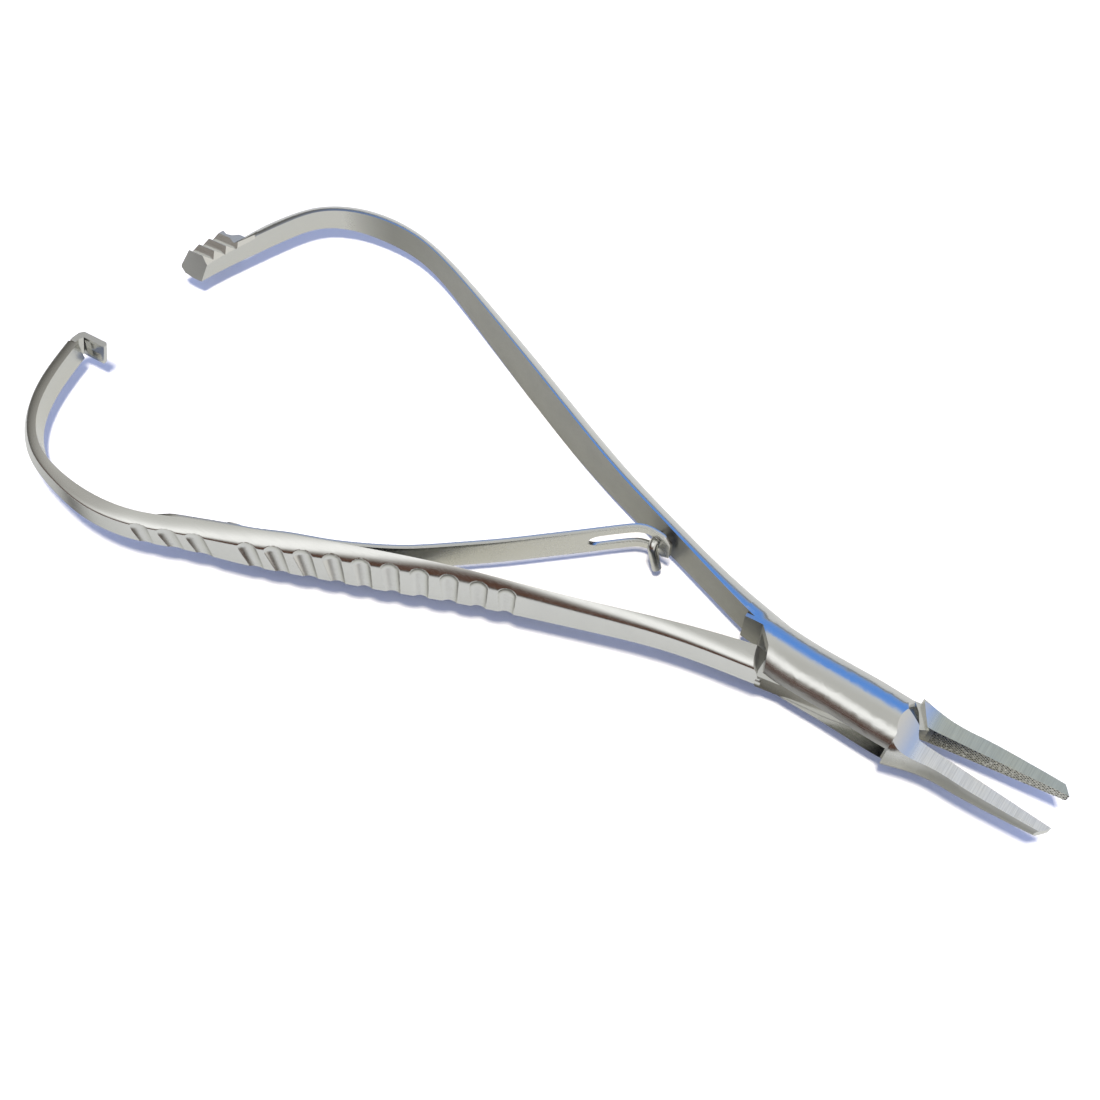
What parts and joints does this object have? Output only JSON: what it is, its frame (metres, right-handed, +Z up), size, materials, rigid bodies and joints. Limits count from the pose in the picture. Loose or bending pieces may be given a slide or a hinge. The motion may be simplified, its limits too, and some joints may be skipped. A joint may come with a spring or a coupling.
{
  "type": "surgical needle holder",
  "caption": "Plier-type surgical needle holder in satin steel, with a box lock, fluted spring-opened handles and a ratchet with pawl between the tail ends.",
  "frame": {"origin": "where the axis of the box lock meets the table plane that the instrument rests on", "axes": "+X from the tails to the jaws along the ratchet half's jaw, +Y from the pawl handle to the ratchet handle, +Z up from the table along the pivot"},
  "size_m": [0.1476, 0.0638, 0.0094],
  "materials": {
    "forged_steel": "satin, half polished",
    "spring_steel": "satin",
    "pin_steel": "ground flush"
  },
  "bodies": {
    "ratchet_side": {"ratchet_half": "forged_steel", "pivot_pin": "pin_steel", "spring_hook": "pin_steel"},
    "pawl_side": {"pawl_half": "forged_steel", "spring_rivet": "pin_steel", "leaf_spring": "spring_steel"}
  },
  "joints": [
    {"name": "box_lock", "type": "hinge", "parent": "ratchet_side", "child": "pawl_side", "pos_m": [0, 0, 0.00465], "axis": [0, 0, -1], "range_deg": [0, 8.5], "stiffness_Nm_per_rad": 1.5, "deforming": ["leaf_spring"]}
  ]
}
